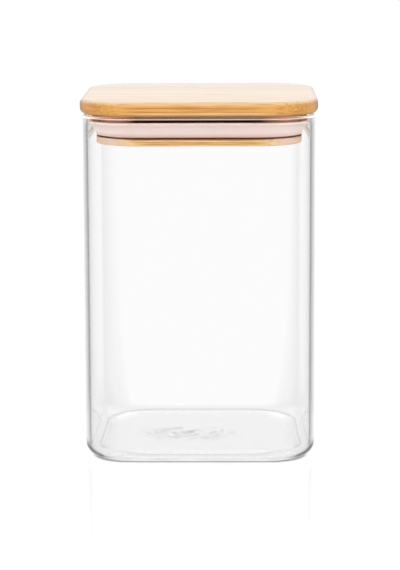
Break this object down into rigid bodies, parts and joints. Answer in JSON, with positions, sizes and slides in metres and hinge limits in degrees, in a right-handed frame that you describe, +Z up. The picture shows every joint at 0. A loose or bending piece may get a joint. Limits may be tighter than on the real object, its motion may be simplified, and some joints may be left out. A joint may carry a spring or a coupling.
{
  "type": "glass storage jar",
  "caption": "Square clear glass storage jar with rounded corners and a lift-off bamboo lid, whose plug carries a silicone seal ring.",
  "frame": {"origin": "middle of the flat face under the base, which the jar stands on", "axes": "+Z up along the jar, -Y towards the front, +X along the strips of the lid"},
  "size_m": [0.1024, 0.1024, 0.1565],
  "materials": {
    "glass": "clear blown borosilicate glass, polished",
    "silicone": "translucent milky silicone, satin",
    "bamboo": "sanded natural bamboo, satin oil"
  },
  "bodies": {
    "jar": {"jar_body": "glass"},
    "lid": {"seal_ring": "silicone", "lid_top_strip_1": "bamboo", "lid_top_strip_2": "bamboo", "lid_top_strip_3": "bamboo", "lid_top_strip_4": "bamboo", "lid_top_strip_5": "bamboo", "lid_middle_strip_1": "bamboo", "lid_middle_strip_2": "bamboo", "lid_middle_strip_3": "bamboo", "lid_middle_strip_4": "bamboo", "lid_bottom_strip_1": "bamboo", "lid_bottom_strip_2": "bamboo", "lid_bottom_strip_3": "bamboo", "lid_bottom_strip_4": "bamboo", "lid_bottom_strip_5": "bamboo"}
  },
  "joints": [
    {"name": "lid_lift", "type": "slide", "parent": "jar", "child": "lid", "axis": [0, 0, 1], "range_m": [0, 0.06]}
  ]
}
